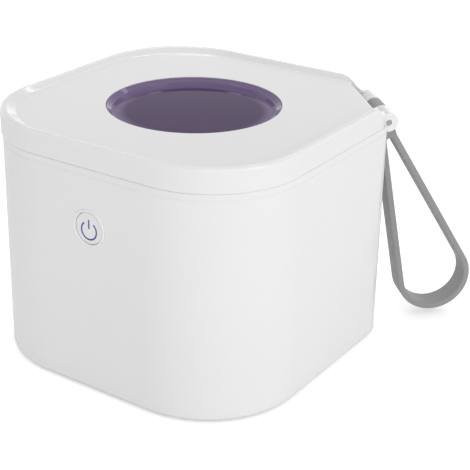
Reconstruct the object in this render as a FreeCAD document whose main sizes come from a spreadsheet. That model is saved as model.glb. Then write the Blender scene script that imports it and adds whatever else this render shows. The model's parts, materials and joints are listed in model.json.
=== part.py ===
import FreeCAD, Part
import math
import os
import Sketcher

# UV sterilizer box, millimetres, +Z up.
# The origin is the centre of the base on the surface that the box stands on.
# The plan is a square with round corners, turned so that a corner points along each axis.
# The hinge is at the +Y corner, the lid opens at the -Y corner, and the button is on the +X -Y side.

Vector = FreeCAD.Vector
ROOT_TWO = math.sqrt(2)
PLAN_ANGLE = 45.0
BUTTON_ANGLE = -45.0
SOCKET_ANGLE = -135.0
UPWARD_ANGLE = 90.0
WHOLE_ANGLE = 360.0
HEADINGS = [(1, 0), (0, 1), (-1, 0), (0, -1)]

SIZES = [
    ("body_half", 45.1, "centre to flat side of the body at the parting line"),
    ("body_draft", 0.15, "how much further out each side is at the lower edge"),
    ("body_corner", 27.5, "corner radius of the body in plan"),
    ("facet_reach", 52.6, "centre to the flat facet at the hinge corner"),
    ("facet_round", 7.7, "radius between the facet and the sides"),
    ("part_line", 64.7, "height of the parting line"),
    ("base_level", 0.8, "height of the shell's lower edge, as the pad stands proud by this"),
    ("shell_wall", 2.2, "wall of the base shell and of the lid's skirt"),
    ("lower_edge", 1.2, "round of the shell's lower edge"),
    ("upper_edge", 0.45, "round of the shell's upper edge"),
    ("band_drop", 1.8, "parting line to the fine groove below it"),
    ("band_depth", 0.06, "depth of the fine groove"),
    ("band_width", 0.2, "height of the fine groove"),
    ("liner_room", 0.55, "chamber liner to the switch board"),
    ("chamber_inset", 0.6, "chamber's corner radius less than the body's"),
    ("chamber_facet", 11.4, "body's facet to the chamber's facet"),
    ("chamber_fillet", 3.0, "round where the chamber wall meets its floor"),
    ("liner_wall", 1.0, "wall of the chamber liner"),
    ("floor_wall", 1.2, "thickness of the chamber floor"),
    ("flange_set", 2.8, "body's side to the liner flange's edge"),
    ("flange_inset", 1.6, "flange's corner radius less than the body's"),
    ("flange_facet", 6.0, "body's facet to the flange's facet"),
    ("flange_thick", 1.4, "thickness of the liner flange"),
    ("ledge_thick", 2.2, "thickness of the ledge that carries the flange"),
    ("seat_gap", 0.1, "clearance round pieces that drop into a seat"),
    ("cup_gap", 0.3, "clearance between the liner cup and the ledge"),
    ("post_radius", 3.0, "radius of each screw post"),
    ("post_web", 2.0, "width of the web from post to wall"),
    ("cover_thick", 2.0, "thickness of the bottom cover"),
    ("cover_gap", 0.15, "clearance round the bottom cover"),
    ("pad_set", 9.2, "body's side to the non-slip pad's edge"),
    ("pad_inset", 4.7, "pad's corner radius less than the body's"),
    ("pad_facet", 13.0, "body's facet to the pad's facet"),
    ("pad_thick", 1.6, "thickness of the non-slip pad"),
    ("pad_edge", 0.5, "round of the pad's lower edge"),
    ("screw_radius", 1.3, "radius of the base screws"),
    ("screw_length", 8.0, "length of the base screws under the head"),
    ("screw_head", 2.1, "head radius of the base screws"),
    ("screw_head_thick", 1.2, "head thickness of the base screws"),
    ("thread_gap", 0.02, "clearance between a screw and its hole"),
    ("board_length", 44.0, "control board along its wall"),
    ("board_width", 26.0, "control board across"),
    ("board_thick", 1.6, "thickness of the control board"),
    ("board_set", 4.1, "body's side to the control board's outer edge"),
    ("board_lift", 3.0, "control board above the cover"),
    ("board_inset", 3.5, "corner of the control board to its screws"),
    ("board_post", 1.9, "radius of the control board's posts"),
    ("small_screw", 0.8, "radius of the control board's screws"),
    ("small_head", 1.5, "head radius of the control board's screws"),
    ("plug_length", 4.0, "length of the white lead connectors"),
    ("plug_width", 3.0, "width of the white lead connectors"),
    ("plug_tall", 3.0, "height of the white lead connectors"),
    ("cell_length", 50.0, "battery cell along the box"),
    ("cell_width", 34.0, "battery cell across"),
    ("cell_thick", 8.0, "thickness of the battery cell"),
    ("cell_room", 1.7, "control board to the cell's rail"),
    ("lamp_room", 0.8, "battery cell to the lamp's connector"),
    ("cell_round", 1.5, "round of the battery cell's edges"),
    ("rail_thick", 1.0, "thickness of the cell's rails on the cover"),
    ("rail_tall", 3.0, "height of the cell's rails"),
    ("cell_gap", 0.3, "clearance round the battery cell"),
    ("port_wide", 8.94, "width of the charging socket"),
    ("port_tall", 3.26, "height of the charging socket"),
    ("port_deep", 7.3, "depth of the charging socket"),
    ("port_wall", 0.3, "sheet of the charging socket"),
    ("port_recess", 0.7, "charging socket's mouth behind the outer face"),
    ("tongue_wide", 6.7, "width of the socket's tongue"),
    ("tongue_thick", 0.7, "thickness of the socket's tongue"),
    ("tongue_deep", 5.6, "length of the socket's tongue"),
    ("port_gap", 0.3, "clearance round the charging socket in the wall"),
    ("button_drop", 16.25, "parting line to the button's centre"),
    ("button_offset", -0.55, "button's centre from the middle of its side"),
    ("ring_radius", 5.2, "outer radius of the button's ring"),
    ("ring_bore", 4.5, "inner radius of the button's ring"),
    ("ring_proud", 0.25, "ring in front of the wall"),
    ("ring_flange", 1.2, "flange of the ring behind the wall, past its outer radius"),
    ("ring_flange_thick", 0.8, "thickness of that flange"),
    ("ring_gap", 0.03, "clearance of the ring in the wall"),
    ("cap_gap", 0.1, "clearance of the button cap in its ring"),
    ("cap_sink", 0.05, "button cap behind the wall's face"),
    ("cap_edge", 0.2, "chamfer of the button cap"),
    ("cap_flange", 0.9, "flange of the cap behind the ring, past its own radius"),
    ("cap_flange_thick", 0.7, "thickness of that flange"),
    ("rest_gap", 0.05, "play between the button's pieces at rest"),
    ("nub_radius", 1.2, "radius of the nub on the cap's back"),
    ("nub_tall", 0.25, "height of that nub"),
    ("plunger_radius", 0.9, "radius of the switch plunger"),
    ("plunger_proud", 0.6, "switch plunger in front of the switch"),
    ("plunger_sunk", 0.5, "switch plunger inside the switch at rest"),
    ("plunger_gap", 0.05, "running clearance of the plunger"),
    ("switch_side", 6.0, "side of the switch body"),
    ("switch_thick", 1.2, "thickness of the switch body"),
    ("icon_radius", 2.45, "radius of the power symbol's ring, at the middle of its stroke"),
    ("icon_stroke", 0.42, "width of the power symbol's stroke"),
    ("icon_drop", 0.6, "power symbol's centre below the button's centre"),
    ("icon_opening", 38.0, "half angle of the power symbol's gap, degrees"),
    ("icon_bar_low", 0.5, "lower end of the symbol's bar above the symbol's centre"),
    ("icon_bar_high", 3.0, "upper end of the symbol's bar above the symbol's centre"),
    ("icon_depth", 0.3, "depth of the symbol's inlay in the cap"),
    ("panel_width", 22.0, "width of the switch board"),
    ("panel_below", 9.0, "switch board below the button's centre"),
    ("panel_above", 12.0, "switch board above the button's centre"),
    ("panel_thick", 0.7, "thickness of the switch board"),
    ("stake_side", 9.0, "button's centre to each post of the switch board"),
    ("stake_post", 1.5, "radius of those posts"),
    ("stake_pin", 0.6, "radius of the pins on those posts"),
    ("sensor_side", 3.0, "side of the lid sensor"),
    ("sensor_thick", 1.1, "thickness of the lid sensor"),
    ("sensor_rise", 9.8, "lid sensor above the button's centre"),
    ("lamp_window", 8.5, "radius of the clear window under the chamber floor"),
    ("lamp_window_thick", 1.0, "thickness of that window"),
    ("lamp_hole", 7.0, "radius of the hole in the chamber floor"),
    ("holder_wall", 2.2, "wall of the lamp holder"),
    ("holder_tall", 3.6, "height of the lamp holder"),
    ("holder_gap", 0.1, "clearance of the window and board in the holder"),
    ("lamp_board_thick", 1.2, "thickness of the lamp board"),
    ("lamp_side", 3.5, "side of each lamp"),
    ("lamp_thick", 1.0, "height of each lamp"),
    ("lamp_circle", 3.8, "centre to each lamp"),
    ("magnet_radius", 2.2, "radius of the closing magnets"),
    ("base_magnet_thick", 2.0, "thickness of the magnet in the base"),
    ("lid_magnet_thick", 1.1, "thickness of the magnets in the lid"),
    ("magnet_gap", 0.05, "clearance round each magnet"),
    ("sense_magnet", 1.5, "radius of the sensor's magnet"),
    ("sense_set", 6.5, "body's side to the sensor's magnet"),
    ("hinge_inset", 0.1, "facet to the hinge axis"),
    ("hinge_rise", 0.7, "parting line to the hinge axis"),
    ("knuckle_radius", 2.65, "radius of the hinge knuckles"),
    ("knuckle_relief", 0.35, "clearance round the lid's knuckles and the strap's eye"),
    ("pin_radius", 0.8, "radius of the hinge pin"),
    ("pin_sink", 0.2, "pin's end behind the knuckle's outer face"),
    ("pin_gap", 0.05, "running clearance on the hinge pin"),
    ("hinge_gap", 0.15, "gap between knuckles along the pin"),
    ("base_knuckle_wide", 2.6, "width of each base knuckle"),
    ("lid_knuckle_wide", 4.55, "width of each lid knuckle"),
    ("lid_gap", 0.06, "gap at the parting line"),
    ("lid_inset", 1.0, "lid's corner radius less than the body's"),
    ("lid_facet", 1.2, "body's facet to the lid's facet, which lets the lid swing"),
    ("lid_tall", 6.7, "parting line to the top of the lid's rim"),
    ("crest_edge", 0.9, "round of the rim's outer edge"),
    ("crest_inner", 0.55, "round of the rim's inner edge"),
    ("skirt_edge", 0.15, "round of the lid's lower edge"),
    ("panel_drop", 1.4, "rim's top to the lid's flat panel"),
    ("panel_set", 2.9, "body's side to the panel's edge"),
    ("panel_inset", 0.6, "panel's corner radius less than the body's"),
    ("panel_round", 6.0, "round of the panel's corners at the hinge"),
    ("panel_foot", 0.5, "round between the panel and the rim's slope"),
    ("slope_set", 1.4, "body's side to the upper edge of the rim's slope"),
    ("slope_inset", 1.4, "corner radius of the slope's upper edge less than the body's"),
    ("lid_panel_thick", 1.8, "thickness of the lid's panel"),
    ("notch_set", 4.7, "body's facet to the panel's straight edge at the hinge"),
    ("notch_past", 0.5, "how far the panel's outline runs past that edge"),
    ("notch_edge", 0.8, "round of that edge"),
    ("notch_wall", 2.0, "wall behind that edge"),
    ("notch_lap", 0.83, "lid knuckle's inner face to the notch's side at the body's facet"),
    ("saddle_reach", 6.3, "hinge axis to where the rim starts to fall towards it"),
    ("saddle_foot", 0.9, "hinge axis to where the rim has come down to the knuckle"),
    ("window_radius", 24.2, "radius of the round hole in the lid"),
    ("lens_gap", 0.05, "clearance round the window"),
    ("lens_sink", 0.1, "window's edge below the lid's panel"),
    ("lens_lap", 2.8, "flange of the window past its hole"),
    ("lens_depth", 3.0, "lid's panel to the window's lower face"),
    ("lens_edge", 0.2, "chamfer of the window's upper edge"),
    ("lens_slope", 1.3, "width of the window's sloping edge"),
    ("lens_fall", 0.95, "how far that edge falls"),
    ("lens_step", 0.25, "width of the fine step inside that edge"),
    ("lens_cut", 0.4, "width of the steep wall inside the step"),
    ("lens_floor", 2.1, "lid's panel to the window's sunken floor"),
    ("tray_set", 3.5, "body's side to the lid liner's edge"),
    ("tray_inset", 3.6, "lid liner's corner radius less than the body's"),
    ("tray_facet", 7.2, "body's facet to the lid liner's facet"),
    ("tray_thick", 1.2, "thickness of the lid liner"),
    ("tray_lip", 1.0, "width of the lid liner's raised edge"),
    ("tray_clear", 0.4, "lid liner's hole past the window's hole"),
    ("seal_set", 4.2, "body's side to the seal's outer edge"),
    ("seal_inset", 2.6, "seal's corner radius less than the body's"),
    ("seal_facet", 7.8, "body's facet to the seal's facet"),
    ("seal_wide", 1.7, "width of the seal"),
    ("seal_gap", 0.1, "seal above the liner flange"),
    ("strap_width", 6.7, "width of the strap along the pin"),
    ("strap_thick", 1.85, "thickness of the strap"),
    ("strap_eye", 2.6, "outer radius of the strap's eye"),
    ("strap_neck", 7.95, "pin to where the strap divides"),
    ("strap_bow", 11.05, "outer radius of the strap's round end"),
    ("strap_reach", 55.75, "pin to the centre of the strap's round end"),
    ("strap_crotch", 0.9, "radius where the strap divides"),
    ("strap_tilt", 21.0, "angle of the hanging strap from straight down, degrees"),
    ("lead_radius", 0.6, "radius of the inner leads"),
]


class Size:
    """A length or an angle from the sheet, with the formula that gives it."""

    def __init__(self, text, value):
        self.text = text
        self.value = value

    def joined(self, other, sign, value):
        return Size("(%s %s %s)" % (self.text, sign, other.text), value)

    def __add__(self, other):
        other = as_size(other)
        return self.joined(other, "+", self.value + other.value)

    def __sub__(self, other):
        other = as_size(other)
        return self.joined(other, "-", self.value - other.value)

    def __mul__(self, other):
        other = as_size(other)
        return self.joined(other, "*", self.value * other.value)

    def __truediv__(self, other):
        other = as_size(other)
        return self.joined(other, "/", self.value / other.value)

    def __neg__(self):
        return as_size(0.0) - self

    __radd__ = __add__
    __rmul__ = __mul__

    def __rsub__(self, other):
        return as_size(other) - self


def as_size(number):
    if isinstance(number, Size):
        return number
    return Size("(%r)" % float(number), float(number))


def sine(angle):
    return Size("sin(%s * 1 deg)" % angle.text, math.sin(math.radians(angle.value)))


def cosine(angle):
    return Size("cos(%s * 1 deg)" % angle.text, math.cos(math.radians(angle.value)))


class Sheet:
    """The spreadsheet of driving dimensions, read by name."""

    def __init__(self, document):
        self.cells = document.addObject("Spreadsheet::Sheet", "Sizes")
        for row, (name, value, note) in enumerate(SIZES, start=1):
            self.cells.set("A%d" % row, note)
            self.cells.set("B%d" % row, str(value))
            self.cells.setAlias("B%d" % row, name)
        document.recompute()

    def __getattr__(self, name):
        return Size("Sizes." + name, float(self.cells.get(name)))


doc = FreeCAD.newDocument("uv_sterilizer_box")
s = Sheet(doc)
nodes = []


def bind(thing, place, size):
    thing.setExpression(place, as_size(size).text)


def keep(thing, name):
    """Marks a finished piece: its label is the name of its node and file."""
    thing.Label = name
    nodes.append(thing)
    return thing


def put(thing, x, y, z, turn=0.0):
    """Places a piece at x, y, z, turned about +Z."""
    rotation = FreeCAD.Rotation(Vector(0, 0, 1), turn)
    thing.Placement = FreeCAD.Placement(Vector(0, 0, 0), rotation)
    bind(thing, "Placement.Base.x", x)
    bind(thing, "Placement.Base.y", y)
    bind(thing, "Placement.Base.z", z)
    return thing


def put_plan(thing, across, along, z):
    """Places a piece in the turned plan, where the sides of the box lie along the axes."""
    x = (as_size(across) - along) / ROOT_TWO
    y = (as_size(across) + along) / ROOT_TWO
    return put(thing, x, y, z, PLAN_ANGLE)


def put_wall(thing, side, reach, shift, height):
    """Places a piece on a side wall: its own z points outwards and its own y points up."""
    heading = math.radians(side)
    outward = Vector(math.cos(heading), math.sin(heading), 0)
    sideways = Vector(-outward.y, outward.x, 0)
    rotation = FreeCAD.Rotation(sideways, Vector(0, 0, 1), outward, "ZXY")
    thing.Placement = FreeCAD.Placement(Vector(0, 0, 0), rotation)
    bind(thing, "Placement.Base.x", as_size(reach) * outward.x + as_size(shift) * sideways.x)
    bind(thing, "Placement.Base.y", as_size(reach) * outward.y + as_size(shift) * sideways.y)
    bind(thing, "Placement.Base.z", height)
    return thing


def put_along_x(thing, start, y, z):
    """Places a cylinder so that it runs along +X from start."""
    thing.Placement = FreeCAD.Placement(Vector(0, 0, 0), FreeCAD.Rotation(Vector(0, 1, 0), 90))
    bind(thing, "Placement.Base.x", start)
    bind(thing, "Placement.Base.y", y)
    bind(thing, "Placement.Base.z", z)
    return thing


def block(name, length, width, height):
    box = doc.addObject("Part::Box", name)
    bind(box, "Length", length)
    bind(box, "Width", width)
    bind(box, "Height", height)
    return box


def drum(name, radius, height):
    cylinder = doc.addObject("Part::Cylinder", name)
    bind(cylinder, "Radius", radius)
    bind(cylinder, "Height", height)
    return cylinder


def plan_block(name, length, width, height, across, along, z):
    """A block centred on a point of the turned plan."""
    box = block(name, length, width, height)
    return put_plan(box, across - as_size(length) / 2, along - as_size(width) / 2, z)


def wall_block(name, length, width, height, side, reach, shift, level):
    """A block centred on a point of a side wall, standing outwards from its reach."""
    box = block(name, length, width, height)
    return put_wall(box, side, reach, shift - as_size(length) / 2, level - as_size(width) / 2)


def hinge_drum(name, radius, start, width):
    """A cylinder on the hinge axis."""
    return put_along_x(drum(name, radius, width), start, hinge_y, hinge_z)


def joined(name, pieces):
    fuse = doc.addObject("Part::MultiFuse", name)
    fuse.Shapes = pieces
    fuse.Refine = True
    return fuse


def cut(name, base, tools):
    tool = tools[0]
    if len(tools) > 1:
        tool = joined(name + "_tools", tools)
    result = doc.addObject("Part::Cut", name)
    result.Base = base
    result.Tool = tool
    return result


def new_body(name):
    return doc.addObject("PartDesign::Body", name)


def plan_body(name):
    """A body in the turned plan."""
    return put_plan(new_body(name), 0.0, 0.0, 0.0)


def plane_of(body, role):
    for feature in body.Origin.OriginFeatures:
        if feature.Role == role:
            return feature
    raise ValueError(role)


def sketch_in(body, name, role="XY_Plane", level=None):
    sketch = body.newObject("Sketcher::SketchObject", name)
    sketch.AttachmentSupport = (plane_of(body, role), [""])
    sketch.MapMode = "FlatFace"
    if level is not None:
        bind(sketch, "AttachmentOffset.Base.z", level)
    return sketch


def line(start, end):
    return Part.LineSegment(Vector(start[0], start[1], 0), Vector(end[0], end[1], 0))


def arc(centre, radius, start, end):
    circle = Part.Circle(Vector(centre[0], centre[1], 0), Vector(0, 0, 1), radius)
    return Part.ArcOfCircle(circle, math.radians(start), math.radians(end))


def hold(sketch, kind, *where):
    """Adds a constraint. A size at its end drives it from the sheet."""
    if isinstance(where[-1], Size):
        size = where[-1]
        value = size.value
        if kind == "Angle":
            value = math.radians(value)
        index = sketch.addConstraint(Sketcher.Constraint(kind, *where[:-1], value))
        text = size.text
        if kind == "Angle":
            text = "%s * 1 deg" % text
        sketch.setExpression("Constraints[%d]" % index, text)
        return
    sketch.addConstraint(Sketcher.Constraint(kind, *where))


def chain(sketch, pieces, sharp=()):
    """Adds lines and arcs that follow one another and close. They join smoothly, but for the
    pieces whose places are in sharp, which end at a corner. Returns their numbers."""
    first = sketch.GeometryCount
    sketch.addGeometry(pieces)
    count = len(pieces)
    for place in range(count):
        kind = "Coincident" if place in sharp else "Tangent"
        hold(sketch, kind, first + place, 2, first + (place + 1) % count, 1)
    return [first + place for place in range(count)]


def plan_loop(sketch, half, corner, reach=None, facet_round=None):
    """A square with round corners. With a reach, a flat facet cuts its corner at +x +y."""
    half = as_size(half)
    corner = as_size(corner)
    side = half.value
    round_out = corner.value
    middle = side - round_out
    if reach is None:
        parts = chain(sketch, [
            line((-middle, -side), (middle, -side)),
            arc((middle, -middle), round_out, 270, 360),
            line((side, -middle), (side, middle)),
            arc((middle, middle), round_out, 0, 90),
            line((middle, side), (-middle, side)),
            arc((-middle, middle), round_out, 90, 180),
            line((-side, middle), (-side, -middle)),
            arc((-middle, -middle), round_out, 180, 270),
        ])
        low, first_arc, right, second_arc, high, third_arc, left, last_arc = parts
        hold(sketch, "Equal", second_arc, first_arc)
    else:
        reach = as_size(reach)
        facet_round = as_size(facet_round)
        turn = facet_round.value
        meet = reach.value * ROOT_TWO - side
        tangent = turn * math.tan(math.radians(22.5))
        step = tangent / ROOT_TWO
        inner = side - turn
        parts = chain(sketch, [
            line((-middle, -side), (middle, -side)),
            arc((middle, -middle), round_out, 270, 360),
            line((side, -middle), (side, meet - tangent)),
            arc((inner, meet - tangent), turn, 0, 45),
            line((side - step, meet + step), (meet + step, side - step)),
            arc((meet - tangent, inner), turn, 45, 90),
            line((meet - tangent, side), (-middle, side)),
            arc((-middle, middle), round_out, 90, 180),
            line((-side, middle), (-side, -middle)),
            arc((-middle, -middle), round_out, 180, 270),
        ])
        low, first_arc, right, near, facet, far, high, third_arc, left, last_arc = parts
        hold(sketch, "Angle", facet, math.radians(135))
        hold(sketch, "Radius", near, facet_round)
        hold(sketch, "Equal", far, near)
        hold(sketch, "Distance", -1, 1, facet, reach)
    hold(sketch, "Radius", first_arc, corner)
    hold(sketch, "Equal", third_arc, first_arc)
    hold(sketch, "Equal", last_arc, first_arc)
    hold(sketch, "Horizontal", low)
    hold(sketch, "Vertical", right)
    hold(sketch, "Horizontal", high)
    hold(sketch, "Vertical", left)
    hold(sketch, "DistanceY", low, 1, -1, 1, half)
    hold(sketch, "DistanceX", -1, 1, right, 1, half)
    hold(sketch, "DistanceY", -1, 1, high, 1, half)
    hold(sketch, "DistanceX", left, 1, -1, 1, half)


def distance_from_origin(sketch, piece, point, x, y):
    """Fixes a point of a sketch by its distances along both axes."""
    x = as_size(x)
    y = as_size(y)
    if x.value >= 0:
        hold(sketch, "DistanceX", -1, 1, piece, point, x)
    else:
        hold(sketch, "DistanceX", piece, point, -1, 1, -x)
    if y.value >= 0:
        hold(sketch, "DistanceY", -1, 1, piece, point, y)
    else:
        hold(sketch, "DistanceY", piece, point, -1, 1, -y)


def round_loop(sketch, x, y, radius):
    """A circle."""
    x = as_size(x)
    y = as_size(y)
    radius = as_size(radius)
    centre = Vector(x.value, y.value, 0)
    number = sketch.addGeometry(Part.Circle(centre, Vector(0, 0, 1), radius.value))
    hold(sketch, "Radius", number, radius)
    distance_from_origin(sketch, number, 3, x, y)


def outline(sketch, points):
    """A closed outline of straight lines through points, each fixed by its distances."""
    points = [(as_size(x), as_size(y)) for x, y in points]
    plain = [(x.value, y.value) for x, y in points]
    count = len(plain)
    sides = [line(plain[i], plain[(i + 1) % count]) for i in range(count)]
    numbers = chain(sketch, sides, sharp=range(count))
    for number, (x, y) in zip(numbers, points):
        distance_from_origin(sketch, number, 1, x, y)
    return numbers


def frame_loop(sketch, x, y, length, width):
    """A rectangle centred on a point."""
    x = as_size(x)
    y = as_size(y)
    half_length = as_size(length) / 2
    half_width = as_size(width) / 2
    outline(sketch, [
        (x - half_length, y - half_width), (x + half_length, y - half_width),
        (x + half_length, y + half_width), (x - half_length, y + half_width),
    ])


def pad(body, sketch, height, name):
    feature = body.newObject("PartDesign::Pad", name)
    feature.Profile = sketch
    bind(feature, "Length", height)
    return feature


def pocket(body, sketch, depth, name, upward=False):
    """Cuts a sketch downwards, or upwards, and makes sure that it removes something."""
    doc.recompute()
    before = body.Shape.Volume
    feature = body.newObject("PartDesign::Pocket", name)
    feature.Profile = sketch
    bind(feature, "Length", depth)
    feature.Reversed = upward
    doc.recompute()
    if body.Shape.Volume >= before - 1e-6:
        raise ValueError("nothing cut by " + name)
    return feature


def turned(body, name, points):
    """A solid of revolution about the body's own z from points given as radius and height."""
    sketch = sketch_in(body, name + "_profile", "XZ_Plane")
    outline(sketch, points)
    feature = body.newObject("PartDesign::Revolution", name + "_turned")
    feature.Profile = sketch
    feature.ReferenceAxis = (sketch, ["V_Axis"])
    feature.Angle = 360.0
    return feature


def edges_at(feature, level):
    """The names of the edges that lie at a height in the body's own frame."""
    names = []
    for number, edge in enumerate(feature.Shape.Edges, start=1):
        box = edge.BoundBox
        if abs(box.ZMin - level) < 1e-4 and abs(box.ZMax - level) < 1e-4:
            names.append("Edge%d" % number)
    return names


def wire_edges_at(feature, level, holes=False):
    """The names of the edges round the flat face at a height, or round the holes in it."""
    names = []
    for face in feature.Shape.Faces:
        box = face.BoundBox
        if abs(box.ZMin - level) > 1e-4 or abs(box.ZMax - level) > 1e-4:
            continue
        wires = [wire for wire in face.Wires if wire.isSame(face.OuterWire) != holes]
        bounds = [edge for wire in wires for edge in wire.Edges]
        for number, edge in enumerate(feature.Shape.Edges, start=1):
            if any(edge.isSame(bound) for bound in bounds):
                names.append("Edge%d" % number)
    return names


def round_off(body, feature, edges, radius, name):
    fillet = body.newObject("PartDesign::Fillet", name)
    fillet.Base = (feature, edges)
    bind(fillet, "Radius", radius)
    doc.recompute()
    return fillet


def corner_reach(half, corner):
    """Centre to the middle of a round corner of a plan outline."""
    return half * ROOT_TWO - corner * (ROOT_TWO - 1)


# Heights and places that several pieces share
hinge_y = s.facet_reach - s.hinge_inset
hinge_z = s.part_line + s.hinge_rise
cavity_half = s.body_half - s.shell_wall
cavity_corner = s.body_corner - s.shell_wall
cavity_reach = s.facet_reach - s.shell_wall
cavity_round = s.facet_round - s.shell_wall
pad_half = s.body_half - s.pad_set
pad_corner = s.body_corner - s.pad_inset
pad_reach = s.facet_reach - s.pad_facet
cover_top = s.base_level + s.cover_thick
post_base = cover_top + s.seat_gap
board_base = cover_top + s.board_lift
board_top = board_base + s.board_thick
board_edge = s.body_half - s.board_set
board_inner = board_edge - s.board_width
board_middle = board_edge - s.board_width / 2
cell_side = s.cell_room + s.rail_thick + s.cell_gap - board_inner
cell_centre = cell_side + s.cell_width / 2
cell_base = cover_top + s.seat_gap

# The button, from the wall's face inwards, and its switch board
button_height = s.part_line - s.button_drop
button_share = s.button_drop / (s.part_line - s.base_level)
button_face = s.body_half + s.body_draft * button_share
wall_behind = cavity_half - button_face
ring_back = wall_behind - s.ring_flange_thick
cap_front = -s.cap_sink
cap_radius = s.ring_bore - s.cap_gap
cap_flange_front = ring_back - s.rest_gap
cap_flange_back = cap_flange_front - s.cap_flange_thick
nub_back = cap_flange_back - s.nub_tall
plunger_front = nub_back - s.rest_gap
switch_front = plunger_front - s.plunger_proud
panel_front = switch_front - s.switch_thick
panel_back = panel_front - s.panel_thick

# The chamber and the lamp under it
cup_half = button_face + panel_back - s.liner_room
chamber_half = cup_half - s.liner_wall
chamber_corner = s.body_corner - s.chamber_inset
chamber_reach = s.facet_reach - s.chamber_facet
cup_corner = chamber_corner + s.liner_wall
cup_reach = chamber_reach + s.liner_wall
cup_round = s.facet_round + s.liner_wall
holder_base = cell_base + s.cell_thick + s.lamp_room + s.plug_tall / 2
cup_base = holder_base + s.holder_tall
chamber_floor = cup_base + s.floor_wall
lamp_window_base = cup_base - s.lamp_window_thick
flange_half = s.body_half - s.flange_set
flange_corner = s.body_corner - s.flange_inset
flange_reach = s.facet_reach - s.flange_facet
flange_base = s.part_line - s.flange_thick
ledge_base = flange_base - s.ledge_thick
mouth_half = cup_half + s.cup_gap
mouth_corner = cup_corner + s.cup_gap
shell_corner = corner_reach(s.body_half, s.body_corner)

# The hinge
strap_gap_start = s.strap_width / 2 + s.hinge_gap
base_knuckle_end = strap_gap_start + s.base_knuckle_wide
lid_knuckle_start = base_knuckle_end + s.hinge_gap
lid_knuckle_end = lid_knuckle_start + s.lid_knuckle_wide
knuckle_top = hinge_z + s.knuckle_radius

# The lid
lid_base = s.part_line + s.lid_gap
lid_corner = s.body_corner - s.lid_inset
crest_height = s.part_line + s.lid_tall
panel_height = crest_height - s.panel_drop
panel_half = s.body_half - s.panel_set
panel_corner = s.body_corner - s.panel_inset
slope_half = s.body_half - s.slope_set
slope_corner = s.body_corner - s.slope_inset
notch_reach = s.facet_reach - s.notch_set
lid_hollow = panel_height - s.lid_panel_thick
lens_base = panel_height - s.lens_depth
tray_base = lens_base - s.tray_thick
tray_half = s.body_half - s.tray_set
tray_corner = s.body_corner - s.tray_inset
tray_reach = s.facet_reach - s.tray_facet
seal_half = s.body_half - s.seal_set
seal_corner = s.body_corner - s.seal_inset
seal_reach = s.facet_reach - s.seal_facet
tray_inner = corner_reach(tray_half - s.tray_lip, tray_corner - s.tray_lip)
magnet_reach = (corner_reach(mouth_half, mouth_corner) + tray_inner) / 2
sense_reach = s.body_half - s.sense_set

# The charging socket
port_height = board_top + s.port_tall / 2
socket_share = (s.part_line - port_height) / (s.part_line - s.base_level)
socket_face = s.body_half + s.body_draft * socket_share
port_mouth = socket_face - s.port_recess


def post_places():
    """For each heading, how far out its screw post and the shell's face behind the post are."""
    corner = (corner_reach(cup_half, cup_corner) + shell_corner - s.shell_wall) / 2
    facet = (cup_reach + s.facet_reach - s.shell_wall) / 2
    return [(corner, shell_corner), (facet, s.facet_reach), (corner, shell_corner), (corner, shell_corner)]


def post_plan_places():
    """The same posts in the turned plan."""
    places = []
    for (reach, outer), (x, y) in zip(post_places(), HEADINGS):
        places.append((reach * (x + y) / ROOT_TWO, reach * (y - x) / ROOT_TWO))
    return places


def on_both_sides(name, radius, start, width):
    """Two cylinders on the hinge axis, one each side of the middle."""
    right = hinge_drum(name + "_right", radius, start, width)
    left = hinge_drum(name + "_left", radius, -(as_size(start) + width), width)
    return [right, left]


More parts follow.
